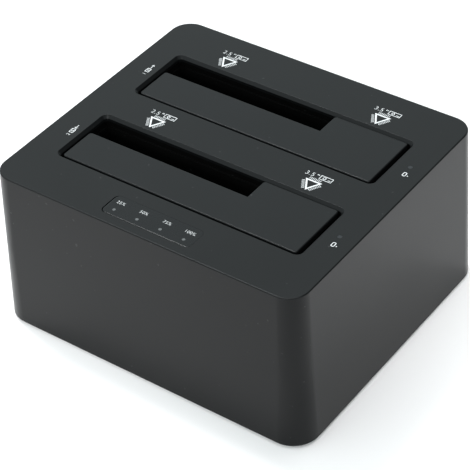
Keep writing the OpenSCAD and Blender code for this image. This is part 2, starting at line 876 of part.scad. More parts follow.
// The socket's mouth: a wide part below and a narrower one for the extra contacts above
module usb_mouth(gap, y0, y1) {
  low_w = usb_low[0] - 2 * gap;
  hump_w = usb_hump[0] - 2 * gap;
  translate([usb_x, 0, board_top + usb_low_z]) {
    translate([-low_w / 2, y0, gap]) cube([low_w, y1 - y0, usb_low[1] - 2 * gap]);
    translate([-hump_w / 2, y0, usb_low[1] - gap - eps]) cube([hump_w, y1 - y0, usb_hump[1] + eps]);
  }
}

usb_front = io_face - usb_inset;
usb_end = usb_front - usb_depth;

module usb_shell() {
  color(steel_colour)
    difference() {
      back_block(usb_x, board_top + usb_size[2] / 2, [usb_size[0], usb_size[2]], usb_corner_r,
        usb_front - usb_size[1], usb_front);
      usb_mouth(0, usb_end, usb_front + 1);
    }
}

usb_tongue_z = board_top + usb_low_z + (usb_low[1] - usb_tongue[1]) / 2;
usb_blade_z = board_top + usb_low_z + usb_low[1] + usb_blade_rise;

module usb_insert() {
  root = usb_end + usb_back_t;
  color(blue_plastic) {
    usb_mouth(screw_gap, usb_end, root);
    translate([usb_x - usb_tongue[0] / 2, root - eps, usb_tongue_z])
      cube([usb_tongue[0], usb_tongue_l, usb_tongue[1]]);
    translate([usb_x - usb_blade[0] / 2, root - eps, usb_blade_z])
      cube([usb_blade[0], usb_tongue_l, usb_blade[1]]);
  }
}

module usb_contacts() {
  root = usb_end + usb_back_t;
  color(gold_colour) {
    for (sx = [-1, 1], z = [usb_tongue_z - usb_strip[1], usb_tongue_z + usb_tongue[1]])
      translate([usb_x + sx * usb_wide_x - usb_strip[0] / 2, root, z])
        cube([usb_strip[0], usb_strip[2], usb_strip[1]]);
    for (i = [-2:2])
      translate([usb_x + i * usb_close_x - usb_strip[0] / 2, root, usb_blade_z - usb_strip[1]])
        cube([usb_strip[0], usb_strip[2], usb_strip[1]]);
  }
}

module power_inlet() {
  color(black_plastic)
    difference() {
      union() {
        translate([jack_x - jack_size[0] / 2, io_inner - screw_gap - jack_size[1], board_top])
          cube(jack_size);
        back_cylinder(jack_x, io_z, jack_nose_r, io_inner - 1, io_face);
      }
      back_cylinder(jack_x, io_z, jack_bore_r, jack_floor, io_face + 1);
      back_cylinder(jack_x, io_z, jack_root_r + pin_seat_gap, jack_floor - jack_root_l, io_face);
    }
}

module power_inlet_pin() {
  color(steel_colour) {
    back_cylinder(jack_x, io_z, jack_pin_r, jack_floor, jack_floor + jack_pin_l);
    back_cylinder(jack_x, io_z, jack_root_r, jack_floor - jack_root_l, jack_floor + eps);
  }
}

module power_switch_frame() {
  pocket_y = rocker_pivot_y - rocker_pocket[1];
  color(black_plastic)
    difference() {
      union() {
        back_block(switch_x, io_z, [bezel_size[0], bezel_size[2]], bezel_corner_r, io_face,
          io_face + bezel_size[1]);
        back_block(switch_x, io_z, [frame_size[0], frame_size[2]], frame_corner_r,
          io_face - frame_size[1], io_face + eps);
      }
      translate([switch_x - rocker_pocket[0] / 2, pocket_y, io_z - rocker_pocket[2] / 2])
        cube([rocker_pocket[0], frame_size[1], rocker_pocket[2]]);
      translate([switch_x, rocker_pivot_y, io_z - frame_size[2]])
        cylinder(r = trunnion_r + trunnion_gap, h = 2 * frame_size[2]);
    }
}

module power_switch_terminals() {
  back = io_face - frame_size[1];
  color(steel_colour)
    for (sx = [-1, 1])
      translate([switch_x + sx * terminal_x - terminal_w / 2, back - terminal_l, 0]) {
        translate([0, 0, io_z - terminal_t]) cube([terminal_w, terminal_l, terminal_t]);
        translate([0, 0, board_top]) cube([terminal_w, terminal_t, io_z - board_top]);
      }
}

// Rocker with a hollow face, tipped to one side, on two stub axles
module power_rocker() {
  face = [[-rocker_r, rocker_edge], [0, rocker_edge - rocker_hollow], [rocker_r, rocker_edge]];
  foot = concat(rocker_foot, [for (i = [1, 0]) [-rocker_foot[i][0], rocker_foot[i][1]]]);
  color(black_plastic)
    translate([switch_x, rocker_pivot_y, io_z])
      rotate([0, 0, rocker_tilt]) {
        intersection() {
          translate([0, 0, -rocker_w / 2]) cylinder(r = rocker_r, h = rocker_w);
          translate([0, 0, -rocker_w / 2]) linear_extrude(rocker_w) polygon(concat(foot, face));
        }
        translate([0, 0, -trunnion_l / 2]) cylinder(r = trunnion_r, h = trunnion_l);
      }
}

module copy_button() {
  cap_l = io_face + button_out + eps - flange_y;
  color(black_plastic) {
    translate([button_x, flange_y - eps, io_z])
      rotate([-90, 0, 0])
        rotate_extrude() polygon(concat([[0, 0]], rounded_rod(button_r, cap_l, button_edge_r)));
    back_cylinder(button_x, io_z, button_flange_r, flange_y - button_flange_t, flange_y);
    back_cylinder(button_x, io_z, button_stem_r, copy_switch_y + plunger_out,
      flange_y - button_flange_t + eps);
  }
}

module copy_switch() {
  color(steel_colour)
    difference() {
      translate([button_x - copy_switch_size[0] / 2, copy_switch_y - copy_switch_size[1], board_top])
        cube(copy_switch_size);
      back_cylinder(button_x, io_z, plunger_r + travel_gap,
        copy_switch_y - plunger_in - button_travel - travel_gap, copy_switch_y + 1);
    }
}

module copy_switch_plunger() {
  color(black_plastic)
    back_cylinder(button_x, io_z, plunger_r, copy_switch_y - plunger_in, copy_switch_y + plunger_out);
}

module bridge_chip() {
  color(chip_colour) standing_box(chip_x[0], bay_y[0], board_top, bridge_size);
}

module memory_chip() {
  color(chip_colour) standing_box(chip_x[1], bay_y[0], board_top, memory_size);
}

module inductors() {
  half = [inductor_size[0] / 2, inductor_size[1] / 2];
  color(chip_colour)
    for (x = inductor_x)
      translate([x, bay_y[1], board_top])
        rounded_plate(-half, half, inductor_r, rounded_top(inductor_size[2], inductor_edge_r));
}

module capacitors() {
  color(cable_colour)
    for (x = capacitor_x)
      translate([x, capacitor_y, board_top]) cylinder(r = capacitor_r, h = capacitor_h);
}

module ribbon_cable() {
  low = board_top + header_size[2];
  high = panel_top - panel_t - header_size[2];
  color(cable_colour)
    standing_box(header_x, panel_y, low, [ribbon_size[0], ribbon_size[1], high - low]);
}

module ribbon_headers() {
  color(clear_colour) {
    standing_box(header_x, panel_y, board_top, header_size);
    standing_box(header_x, panel_y, panel_top - panel_t - header_size[2], header_size);
  }
}

echo(door_spring_gap = wire_gap(spring_line));

upper_housing();
base_plate();
rubber_feet();
housing_screws();
front_drive_guide();
rear_drive_guide();
guide_screws();
front_bay_door();
rear_bay_door();
front_hinge_pin();
rear_hinge_pin();
front_door_spring();
rear_door_spring();
progress_window();
progress_light_guides();
progress_board();
progress_lamps();
progress_board_screws();
front_light_pipe();
rear_light_pipe();
activity_lamps();
main_board();
board_screws();
front_drive_socket();
rear_drive_socket();
front_socket_contacts();
rear_socket_contacts();
usb_shell();
usb_insert();
usb_contacts();
power_inlet();
power_inlet_pin();
power_switch_frame();
power_switch_terminals();
power_rocker();
copy_button();
copy_switch();
copy_switch_plunger();
bridge_chip();
memory_chip();
inductors();
capacitors();
ribbon_cable();
ribbon_headers();
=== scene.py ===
"""Looks of a two-bay hard drive docking station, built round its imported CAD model."""

import json
import math

import bmesh
import bpy
from bpy.props import FloatProperty, FloatVectorProperty, IntProperty, PointerProperty
from mathutils import Matrix, Vector

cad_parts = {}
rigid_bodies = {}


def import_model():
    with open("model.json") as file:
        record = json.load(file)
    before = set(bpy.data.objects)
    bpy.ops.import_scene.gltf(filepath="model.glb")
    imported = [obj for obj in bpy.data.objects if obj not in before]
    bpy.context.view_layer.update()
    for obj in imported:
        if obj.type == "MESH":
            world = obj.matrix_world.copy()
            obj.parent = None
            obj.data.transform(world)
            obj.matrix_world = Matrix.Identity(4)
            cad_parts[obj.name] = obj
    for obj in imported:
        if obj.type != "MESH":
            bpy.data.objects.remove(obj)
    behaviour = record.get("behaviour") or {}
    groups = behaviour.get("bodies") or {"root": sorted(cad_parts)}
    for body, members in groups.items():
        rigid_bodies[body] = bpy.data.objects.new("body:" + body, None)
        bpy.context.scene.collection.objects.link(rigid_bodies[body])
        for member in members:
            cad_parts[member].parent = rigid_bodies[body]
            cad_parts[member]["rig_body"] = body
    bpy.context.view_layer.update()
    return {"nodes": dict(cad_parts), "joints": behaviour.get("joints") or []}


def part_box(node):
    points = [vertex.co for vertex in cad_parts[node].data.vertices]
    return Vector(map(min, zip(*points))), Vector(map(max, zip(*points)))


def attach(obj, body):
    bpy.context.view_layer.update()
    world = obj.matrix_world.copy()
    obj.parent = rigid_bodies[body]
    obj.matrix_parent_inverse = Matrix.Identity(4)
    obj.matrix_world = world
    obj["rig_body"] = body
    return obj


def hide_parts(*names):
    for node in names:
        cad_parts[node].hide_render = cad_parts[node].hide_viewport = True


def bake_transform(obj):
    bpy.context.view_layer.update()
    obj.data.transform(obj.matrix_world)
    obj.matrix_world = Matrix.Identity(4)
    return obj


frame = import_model()

bl_info = {
    "name": "Hard drive docking station",
    "version": (1, 0, 0),
    "blender": (4, 5, 0),
    "location": "View3D > Sidebar > Dock",
    "description": "Finishes, printed marks and small hardware of a two-bay docking station",
    "category": "Object",
}

MM = 0.001
SIDES = ("front", "rear")
SOCKET_BACK = 8.95 * MM  # from a bay's middle back to the middle of its socket
WELD = 0.0005 * MM  # corners that lie closer than this are one corner
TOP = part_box("upper_housing")[1].z
JOINTS = {joint["name"]: joint for joint in frame["joints"]}


def bay_middle(side):
    """Where the middle of a bay lies between the front and the back."""
    low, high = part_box(side + "_drive_socket")
    return (low + high).y / 2 - SOCKET_BACK


# Node trees

class Value:
    """A socket of a node tree; the usual operators add Math nodes to that tree."""

    def __init__(self, graph, socket):
        self.graph, self.socket = graph, socket

    def math(self, operation, first, second):
        return self.graph.node("ShaderNodeMath", {"operation": operation}, {0: first, 1: second})[0]

    def __add__(self, other):
        return self.math("ADD", self, other)

    def __radd__(self, other):
        return self.math("ADD", other, self)

    def __sub__(self, other):
        return self.math("SUBTRACT", self, other)

    def __rsub__(self, other):
        return self.math("SUBTRACT", other, self)

    def __mul__(self, other):
        return self.math("MULTIPLY", self, other)

    def __rmul__(self, other):
        return self.math("MULTIPLY", other, self)

    def __truediv__(self, other):
        return self.math("DIVIDE", self, other)

    def __neg__(self):
        return self.math("MULTIPLY", self, -1.0)


class Made:
    """A node that has been made, whose outputs are picked by name or number."""

    def __init__(self, graph, node):
        self.graph, self.made = graph, node

    def __getitem__(self, key):
        return Value(self.graph, self.made.outputs[key])


class Graph:
    """A node tree that is written down node by node."""

    def __init__(self, tree):
        self.tree = tree
        tree.nodes.clear()

    def node(self, kind, settings=None, inputs=None):
        """Adds a node, sets it up, and then gives its sockets values or links."""
        made = self.tree.nodes.new(kind)
        for key, value in (settings or {}).items():
            if key == "stops":
                ramp = made.color_ramp
                while len(ramp.elements) < len(value):
                    ramp.elements.new(1.0)
                for element, (at, level) in zip(ramp.elements, value):
                    element.position = at
                    element.color = (level, level, level, 1.0)
            else:
                setattr(made, key, value)
        for key, value in (inputs or {}).items():
            socket = made.inputs[key]
            for one in value if isinstance(value, list) else [value]:
                if isinstance(one, Value):
                    self.tree.links.new(one.socket, socket)
                else:
                    socket.default_value = one
        return Made(self, made)


class Finish(Graph):
    """A material's node tree, with the textures that most finishes share."""

    def __init__(self, name):
        self.material = bpy.data.materials.new(name)
        self.material.use_nodes = True
        super().__init__(self.material.node_tree)
        self.place = self.node("ShaderNodeTexCoord")["Object"]

    def noise(self, scale, detail=2.0, stretch=None):
        """Cloudy grey on Object coordinates, drawn out where a stretch is given."""
        place = self.place
        if stretch:
            place = self.node("ShaderNodeMapping", inputs={"Vector": place, "Scale": stretch})[0]
        return self.node("ShaderNodeTexNoise", inputs={
            "Vector": place, "Scale": scale, "Detail": detail})[0]

    def levels(self, value, *stops):
        """A grey value put through a ramp of (place, level) stops."""
        return self.node("ShaderNodeValToRGB", {"stops": stops}, {0: value})[0]

    def blend(self, factor, first, second):
        """Mixes two colours."""
        return self.node("ShaderNodeMix", {"data_type": "RGBA"}, {
            0: factor, 6: (*first, 1.0) if isinstance(first, tuple) else first,
            7: (*second, 1.0) if isinstance(second, tuple) else second})[2]

    def mottle(self, factor, colour, low, high):
        """A colour that changes between two shares of its brightness."""
        return self.blend(factor, shade(colour, low), shade(colour, high))

    def bump(self, height, depth):
        return self.node("ShaderNodeBump", inputs={
            "Height": height, "Distance": depth, "Strength": 1.0})[0]

    def surface(self, **sockets):
        """Closes the tree with one shader, whose sockets are given by name."""
        names = {key.replace("_", " "): value for key, value in sockets.items()}
        shader = self.node("ShaderNodeBsdfPrincipled", inputs=names)
        self.node("ShaderNodeOutputMaterial", inputs={"Surface": shader[0]})
        return self.material


def shade(colour, share):
    return tuple(channel * share for channel in tuple(colour)[:3])


def satin_plastic(name, colour, roughness, specular, grain=2600.0, depth=0.006 * MM):
    """Moulded plastic: fine eroded grain, faint flow marks and a few specks of dust."""
    dust_colour, dust_cover, dust_rough, spread = (0.09, 0.09, 0.09), 0.35, 0.2, 0.06
    g = Finish(name)
    fine = g.noise(grain, detail=3.0)
    flow = g.noise(28.0, detail=3.0)
    dust = g.levels(g.noise(520.0, detail=1.0), (0.0, 0.0), (0.77, 0.0), (0.80, 1.0))
    tone = g.blend(dust * dust_cover, g.mottle(flow, colour, 0.8, 1.25), dust_colour)
    rough = roughness - spread + spread * flow + spread * fine + dust_rough * dust
    return g.surface(Base_Color=tone, Roughness=rough, IOR=1.46, Specular_IOR_Level=specular,
                     Normal=g.bump(fine, depth))


def rubber(name, colour):
    """Dull rubber with a coarse grain and scuffs."""
    g = Finish(name)
    grain = g.noise(1400.0, detail=4.0)
    scuff = g.noise(160.0)
    return g.surface(Base_Color=g.mottle(scuff, colour, 0.7, 1.5),
                     Roughness=0.7 + 0.2 * scuff, Normal=g.bump(grain, depth=0.03 * MM))


def plated_metal(name, colour, roughness, stretch):
    """Metal with fine drawing lines along one way."""
    g = Finish(name)
    lines = g.noise(900.0, detail=3.0, stretch=stretch)
    stain = g.noise(120.0)
    return g.surface(Base_Color=g.mottle(stain, colour, 0.85, 1.05), Metallic=1.0,
                     Roughness=roughness - 0.06 + 0.14 * lines,
                     Normal=g.bump(lines, depth=0.002 * MM))


def circuit_board(name, colour):
    """Solder mask over copper tracks, with the glass weave faintly in the surface."""
    g = Finish(name)
    edge = g.node("ShaderNodeTexVoronoi", {"feature": "DISTANCE_TO_EDGE"}, {
        "Vector": g.place, "Scale": 260.0})[0]
    track = g.levels(edge, (0.0, 1.0), (0.05, 1.0), (0.08, 0.0))
    weave = g.noise(1800.0, detail=1.0)
    return g.surface(Base_Color=g.mottle(track, colour, 0.75, 1.5), Roughness=0.32 + 0.12 * weave,
                     Normal=g.bump(track + 0.2 * weave, depth=0.02 * MM))


def clear_plastic(name, colour, transmission, specular):
    """Hazy plastic that lets some light through."""
    g = Finish(name)
    haze = g.noise(700.0, detail=3.0)
    return g.surface(Base_Color=g.mottle(haze, colour, 0.85, 1.1),
                     Roughness=0.22 + 0.16 * haze, IOR=1.49, Specular_IOR_Level=specular,
                     Transmission_Weight=transmission)


def speckled(name, colour, roughness, scale=900.0, depth=0.01 * MM):
    """Plain moulded or printed finish with a slight speckle."""
    g = Finish(name)
    speckle = g.noise(scale, detail=3.0)
    return g.surface(Base_Color=g.mottle(speckle, colour, 0.82, 1.15),
                     Roughness=roughness - 0.05 + 0.1 * speckle, Normal=g.bump(speckle, depth))


def ribbon(name, colour):
    """Flat cable: one rounded rib for each conductor, with painted shade in the grooves and a
    painted highlight on top.
    """
    half = 0.5 * MM  # half the width of one conductor
    g = Finish(name)
    across = g.node("ShaderNodeSeparateXYZ", inputs={0: g.place})[0]
    ridge_height_and_shade = g.node("ShaderNodeMath", {"operation": "PINGPONG"}, {0: across, 1: half})[0] / half
    # Painted shade and highlight: the sleeve's colour is darker in the grooves between conductors
    # and lighter along their tops.
    return g.surface(Base_Color=g.mottle(ridge_height_and_shade, colour, 0.6, 1.1),
                     Roughness=0.5 + 0.1 * g.noise(600.0), Normal=g.bump(ridge_height_and_shade, depth=0.2 * MM))


def finishes():
    """Every material of the dock, made once."""
    if "housing plastic" not in bpy.data.materials:
        c = bpy.context.scene.dock_finish
        satin_plastic("housing plastic", c.housing, c.housing_roughness, c.gloss)
        satin_plastic("door plastic", c.door, c.door_roughness, c.gloss)
        satin_plastic("window plastic", c.window, c.window_roughness, c.gloss)
        satin_plastic("black plastic", c.inner, roughness=0.55, specular=0.08,
                      grain=1800.0, depth=0.012 * MM)
        satin_plastic("switch plastic", c.switch, roughness=0.38, specular=0.45,
                      grain=1800.0, depth=0.008 * MM)
        rubber("foot rubber", c.rubber)
        plated_metal("plated steel", c.steel, roughness=0.3, stretch=(1.0, 0.08, 1.0))
        plated_metal("gold plate", c.gold, roughness=0.24, stretch=(1.0, 1.0, 0.1))
        circuit_board("circuit board", c.board)
        clear_plastic("light guide", c.light_guide, transmission=0.15, specular=0.5)
        clear_plastic("smoked light pipe", c.light_pipe, transmission=0.1, specular=0.25)
        speckled("lamp", c.lamp, roughness=0.4)
        speckled("blue plastic", c.insert, roughness=0.45)
        speckled("chip", c.chip, roughness=0.55, scale=1500.0, depth=0.02 * MM)
        speckled("header plastic", c.header, roughness=0.5)
        speckled("white ink", c.ink, roughness=0.55, scale=2200.0, depth=0.002 * MM)
        plated_metal("capacitor can", c.can, roughness=0.35, stretch=(1.0, 1.0, 0.05))
        ribbon("ribbon cable", c.cable)
    return bpy.data.materials


# Pieces

SMOOTH = 32.0  # degrees, past which an edge of a moulding stays sharp
GROWN_SMOOTH = 35.0  # the same for what the geometry trees make
FLAT = 0.4  # degrees, up to which triangles are one flat face
ROUNDED = 40.0  # degrees, past which an edge is softened


def link(name, data):
    """A new object at the origin."""
    piece = bpy.data.objects.new(name, data)
    bpy.context.scene.collection.objects.link(piece)
    return piece


def paint(piece, material):
    """Gives a piece one material."""
    piece.data.materials.clear()
    piece.data.materials.append(finishes()[material])


def settle(piece, material, body, slot, *nodes):
    """Gives a finished piece its material, its body and the nodes that it stands for."""
    paint(piece, material)
    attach(piece, body)
    if nodes:
        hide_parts(*nodes)


def plain_mesh(piece):
    """Turns what a piece's modifiers make into its own mesh."""
    graph = bpy.context.evaluated_depsgraph_get()
    mesh = bpy.data.meshes.new_from_object(
        piece.evaluated_get(graph), preserve_all_data_layers=True, depsgraph=graph)
    if not mesh.polygons:
        raise RuntimeError(piece.name + " came out empty")
    piece.modifiers.clear()
    piece.data = mesh


def merged(node):
    """The node's mesh with its loose triangles joined, in a bmesh."""
    work = bmesh.new()
    work.from_mesh(frame["nodes"][node].data)
    bmesh.ops.remove_doubles(work, verts=work.verts, dist=WELD)
    return work


def islands(node):
    """Box of each separate solid of a node, sorted by its place."""
    work, found, seen = merged(node), [], set()
    for start in work.verts:
        if start in seen:
            continue
        seen.add(start)
        stack, points = [start], []
        while stack:
            vertex = stack.pop()
            points.append(vertex.co.copy())
            for edge in vertex.link_edges:
                other = edge.other_vert(vertex)
                if other not in seen:
                    seen.add(other)
                    stack.append(other)
        low, high = ([pick(p[i] for p in points) for i in range(3)] for pick in (min, max))
        found.append((Vector(low), Vector(high)))
    work.free()
    return sorted(found, key=lambda box: tuple(round(v, 5) for v in box[0]))


def refined(node, material, slot, edge=0.0, angle=SMOOTH, shape=None):
    """A node's shape with even normals, after shape has moved its corners and edge softened it."""
    work = merged(node)
    if shape:
        for vertex in work.verts:
            vertex.co = shape(vertex.co)
    if edge:
        bmesh.ops.dissolve_limit(work, angle_limit=math.radians(FLAT), verts=work.verts,
                                 edges=work.edges)
    work.verts.index_update()
    points = [v.co.copy() for v in work.verts]
    faces = [[v.index for v in face.verts] for face in work.faces]
    work.free()
    mesh = bpy.data.meshes.new(node + "_finished")
    mesh.from_pydata(points, [], faces)
    mesh.shade_smooth()
    mesh.set_sharp_from_angle(angle=math.radians(angle))
    piece = link(node + "_finished", mesh)
    if edge:
        soft = piece.modifiers.new("soft edges", "BEVEL")
        soft.width, soft.segments, soft.limit_method = edge, 2, "ANGLE"
        soft.angle_limit, soft.use_clamp_overlap = math.radians(ROUNDED), True
        soft.miter_outer = "MITER_ARC"
    even = piece.modifiers.new("even normals", "WEIGHTED_NORMAL")
    even.keep_sharp, even.weight = not edge, 80
    plain_mesh(piece)
    settle(piece, material, frame["nodes"][node]["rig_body"], slot, node)


def outline_inset(spot, low, high, corner):
    """How far a spot lies inside a box's rounded outline seen from above, and which way is out."""
    away = [spot[i] - (low[i] + high[i]) / 2 for i in (0, 1)]
    reach = [abs(away[i]) - (high[i] - low[i]) / 2 + corner for i in (0, 1)]
    out = Vector([math.copysign(max(reach[i], 0.0), away[i]) for i in (0, 1)])
    return corner - out.length - min(max(reach), 0.0), out.normalized()


# Geometry Nodes

def geometry_tree(name, **inputs):
    """A tree whose group has one geometry input and the named sizes, and its links to them."""
    tree = bpy.data.node_groups.new(name, "GeometryNodeTree")
    tree.interface.new_socket("Geometry", in_out="INPUT", socket_type="NodeSocketGeometry")
    for key, kind in inputs.items():
        tree.interface.new_socket(key.replace("_", " "), in_out="INPUT",
                                  socket_type="NodeSocket" + kind)
    tree.interface.new_socket("Geometry", in_out="OUTPUT", socket_type="NodeSocketGeometry")
    graph = Graph(tree)
    return graph, graph.node("NodeGroupInput")


def close_tree(graph, entry, geometry):
    """Ends a tree in real geometry with its material."""
    real = graph.node("GeometryNodeRealizeInstances", inputs={0: geometry})[0]
    done = graph.node("GeometryNodeSetMaterial", inputs={
        "Geometry": real, "Material": entry["Material"]})[0]
    graph.node("NodeGroupOutput", inputs={0: done})
    return graph.tree


def at_points(graph, entry, instance):
    """The instance on each point, turned by that point's turn."""
    turn = graph.node("GeometryNodeInputNamedAttribute", {"data_type": "FLOAT_VECTOR"}, {
        "Name": "turn"})[0]
    turned = graph.node("FunctionNodeEulerToRotation", inputs={0: turn})[0]
    points = graph.node("GeometryNodeMeshToPoints", inputs={"Mesh": entry["Geometry"]})[0]
    return graph.node("GeometryNodeInstanceOnPoints", inputs={
        "Points": points, "Instance": instance, "Rotation": turned})[0]


def moved(graph, geometry, z=0.0, turn=(0.0, 0.0, 0.0)):
    """Geometry moved along Z and turned."""
    offset = graph.node("ShaderNodeCombineXYZ", inputs={2: z})[0]
    return graph.node("GeometryNodeTransform", inputs={
        "Geometry": geometry, "Translation": offset, "Rotation": turn})[0]


def screw_tree():
    """Domed cross-head screw on each point, its shank along Z."""
    graph, entry = geometry_tree("cross-head screws", Head_Radius="Float", Head_Height="Float",
                                 Shank_Radius="Float", Shank_Length="Float", Cross_Width="Float",
                                 Cross_Depth="Float", Material="Material")
    sides, shank_sides, dome_share, cross_share, taper = 40, 24, 1.35, 1.15, 0.8
    radius, height, length = entry["Head Radius"], entry["Head Height"], entry["Shank Length"]
    disc = graph.node("GeometryNodeMeshCylinder", inputs={
        "Vertices": sides, "Radius": radius, "Depth": height})[0]
    dome = graph.node("GeometryNodeMeshUVSphere", inputs={
        "Segments": sides, "Rings": sides, "Radius": radius * dome_share})[0]
    head = graph.node("GeometryNodeMeshBoolean", {"operation": "INTERSECT"}, {
        "Mesh 2": [moved(graph, disc, z=height * -0.5),
                   moved(graph, dome, z=radius * dome_share - height)]})[0]
    size = graph.node("ShaderNodeCombineXYZ", inputs={
        0: radius * cross_share, 1: entry["Cross Width"], 2: entry["Cross Depth"] * 2.0})[0]
    bar = moved(graph, graph.node("GeometryNodeMeshCube", inputs={"Size": size})[0], z=-height)
    cross = moved(graph, bar, turn=(0.0, 0.0, math.pi / 2))
    head = graph.node("GeometryNodeMeshBoolean", {"operation": "DIFFERENCE"}, {
        "Mesh 1": head, "Mesh 2": [bar, cross]})[0]
    shank = graph.node("GeometryNodeMeshCone", inputs={
        "Vertices": shank_sides, "Radius Top": entry["Shank Radius"] * taper,
        "Radius Bottom": entry["Shank Radius"], "Depth": length})[0]
    whole = graph.node("GeometryNodeJoinGeometry", inputs={0: [head, shank]})[0]
    return close_tree(graph, entry, at_points(graph, entry, whole))


def blade_tree():
    """Bowed spring blade on each point, its length along Z and its bow along Y."""
    graph, entry = geometry_tree("spring blades", Width="Float", Thickness="Float", Length="Float",
                                 Bow="Float", Material="Material")
    steps, rise, top, sweep = 12, 0.55, 0.75, 1.4
    length, bow = entry["Length"], entry["Bow"]

    def point(y, z):
        return graph.node("ShaderNodeCombineXYZ", inputs={1: y, 2: z})[0]

    line = graph.node("GeometryNodeCurvePrimitiveBezierSegment", {"mode": "POSITION"}, {
        "Resolution": steps, "Start": point(0.0, 0.0), "Start Handle": point(bow, length * rise),
        "End Handle": point(bow * sweep, length * top), "End": point(0.0, length)})[0]
    flat = graph.node("GeometryNodeCurvePrimitiveQuadrilateral", inputs={
        "Width": entry["Thickness"], "Height": entry["Width"]})[0]
    blade = graph.node("GeometryNodeCurveToMesh", inputs={
        "Curve": line, "Profile Curve": flat, "Fill Caps": True})[0]
    return close_tree(graph, entry, at_points(graph, entry, blade))


def wire_tree():
    """Round wire along the lines of a mesh."""
    graph, entry = geometry_tree("spring wire", Wire_Radius="Float", Sides="Int",
                                 Material="Material")
    line = graph.node("GeometryNodeMeshToCurve", inputs={0: entry["Geometry"]})[0]
    ring = graph.node("GeometryNodeCurvePrimitiveCircle", inputs={
        "Resolution": entry["Sides"], "Radius": entry["Wire Radius"]})[0]
    wire = graph.node("GeometryNodeCurveToMesh", inputs={
        "Curve": line, "Profile Curve": ring, "Fill Caps": True})[0]
    return close_tree(graph, entry, wire)


def grown(name, tree, material, points, turns=None, edges=(), **sizes):
    """A plain mesh made by a tree from points, with the tree's sizes set by name."""
    mesh = bpy.data.meshes.new(name)
    mesh.from_pydata([tuple(p) for p in points], list(edges), [])
    turn = mesh.attributes.new("turn", "FLOAT_VECTOR", "POINT")
    turns = turns or [(0.0, 0.0, 0.0)] * len(points)
    turn.data.foreach_set("vector", [angle for each in turns for angle in each])
    piece = link(name, mesh)
    maker = piece.modifiers.new("maker", "NODES")
    maker.node_group = tree
    sizes["Material"] = finishes()[material]
    for item in tree.interface.items_tree:
        if item.in_out == "INPUT" and item.name != "Geometry":
            maker[item.identifier] = sizes[item.name.replace(" ", "_")]
    plain_mesh(piece)
    piece.data.shade_smooth()
    piece.data.set_sharp_from_angle(angle=math.radians(GROWN_SMOOTH))
    return piece


def tree_named(name, make):
    """A geometry tree, made when it is first asked for."""
    return bpy.data.node_groups.get(name) or make()


def spring_line(start, end, pivot, h):
    """Middle line of a door spring: its lower leg, its curls and its upper leg."""
    leg_steps, curl_steps = 6, 24
    steps = curl_steps * h.curls + curl_steps // 4
    line = [Vector((start, pivot.y - h.coil, pivot.z - h.leg_down * (1 - i / leg_steps)))
            for i in range(leg_steps)]
    for i in range(steps + 1):
        a = math.pi - (2 * h.curls + 0.5) * math.pi * i / steps
        line.append(Vector((start + (end - start) * i / steps, pivot.y + h.coil * math.cos(a),
                            pivot.z + h.coil * math.sin(a))))
    return line + [Vector((end, pivot.y + h.leg_back * (i + 1) / leg_steps, pivot.z + h.coil))
                   for i in range(leg_steps)]


# Printed marks

DIGIT = 0.7  # height of a numeral at a font size of one
THINNER = 0.012  # how much a numeral's edge is drawn in, as a share of its height
LEAST_MITRE = 0.3  # keeps the corner of a stroke from running out too far


def circle(x, y, radius, steps):
    """Points round a circle."""
    turns = [2 * math.pi * i / steps for i in range(steps)]
    return [(x + radius * math.cos(a), y + radius * math.sin(a)) for a in turns]


class Ink:
    """Flat marks drawn with strokes, areas and numerals, in metres round an own origin."""

    def __init__(self):
        self.work = bmesh.new()

    def area(self, points):
        """A filled outline."""
        self.work.faces.new([self.work.verts.new((x, y, 0.0)) for x, y in points])

    def stroke(self, points, width, closed=False):
        """A line of even width with mitred corners."""
        path = [Vector(p) for p in points]
        count, sides = len(path), ([], [])
        for i, here in enumerate(path):
            before = path[i - 1] if i or closed else None
            after = path[(i + 1) % count] if i < count - 1 or closed else None
            ways = [(b - a).normalized() for a, b in ((before, here), (here, after)) if a and b]
            normals = [Vector((-w.y, w.x)) for w in ways]
            middle = sum(normals, Vector((0.0, 0.0))).normalized()
            reach = width / 2 / max(middle.dot(normals[0]), LEAST_MITRE)
            for side, sign in zip(sides, (1, -1)):
                spot = here + middle * reach * sign
                side.append(self.work.verts.new((spot.x, spot.y, 0.0)))
        for i in range(count if closed else count - 1):
            j = (i + 1) % count
            self.work.faces.new([sides[1][i], sides[1][j], sides[0][j], sides[0][i]])

    def ring(self, x, y, radius, width):
        self.stroke(circle(x, y, radius, steps=28), width, closed=True)

    def dot(self, x, y, radius):
        self.area(circle(x, y, radius, steps=20))

    def numerals(self, words, x, y, height, spacing=1.0):
        """Numerals centred on a point, as high as given."""
        curve = bpy.data.curves.new("numerals", "FONT")
        curve.body, curve.size, curve.space_character = words, height / DIGIT, spacing
        curve.align_x, curve.align_y, curve.resolution_u = "CENTER", "CENTER", 6
        curve.offset = -THINNER * height
        holder = link("numerals", curve)
        graph = bpy.context.evaluated_depsgraph_get()
        mesh = bpy.data.meshes.new_from_object(holder.evaluated_get(graph))
        bpy.data.objects.remove(holder)
        bpy.data.curves.remove(curve)
        lows, highs = ([pick(v.co[i] for v in mesh.vertices) for i in (0, 1)]
                       for pick in (min, max))
        shift = Vector((x - (lows[0] + highs[0]) / 2, y - (lows[1] + highs[1]) / 2, 0.0))
        mesh.transform(Matrix.Translation(shift))
        self.work.from_mesh(mesh)
        bpy.data.meshes.remove(mesh)

    def printed(self, place, film):
        """The mesh of the marks as a thin closed film, put in place."""
        bmesh.ops.remove_doubles(self.work, verts=self.work.verts, dist=WELD)
        for face in self.work.faces:
            if face.normal.z < 0:
                face.normal_flip()
        raised = bmesh.ops.extrude_face_region(self.work, geom=self.work.faces[:])["geom"]
        for part in raised:
            if isinstance(part, bmesh.types.BMVert):
                part.co.z += film
        bmesh.ops.recalc_face_normals(self.work, faces=self.work.faces[:])
        mesh = bpy.data.meshes.new("marks")
        self.work.to_mesh(mesh)
        self.work.free()
        mesh.transform(place)
        return mesh


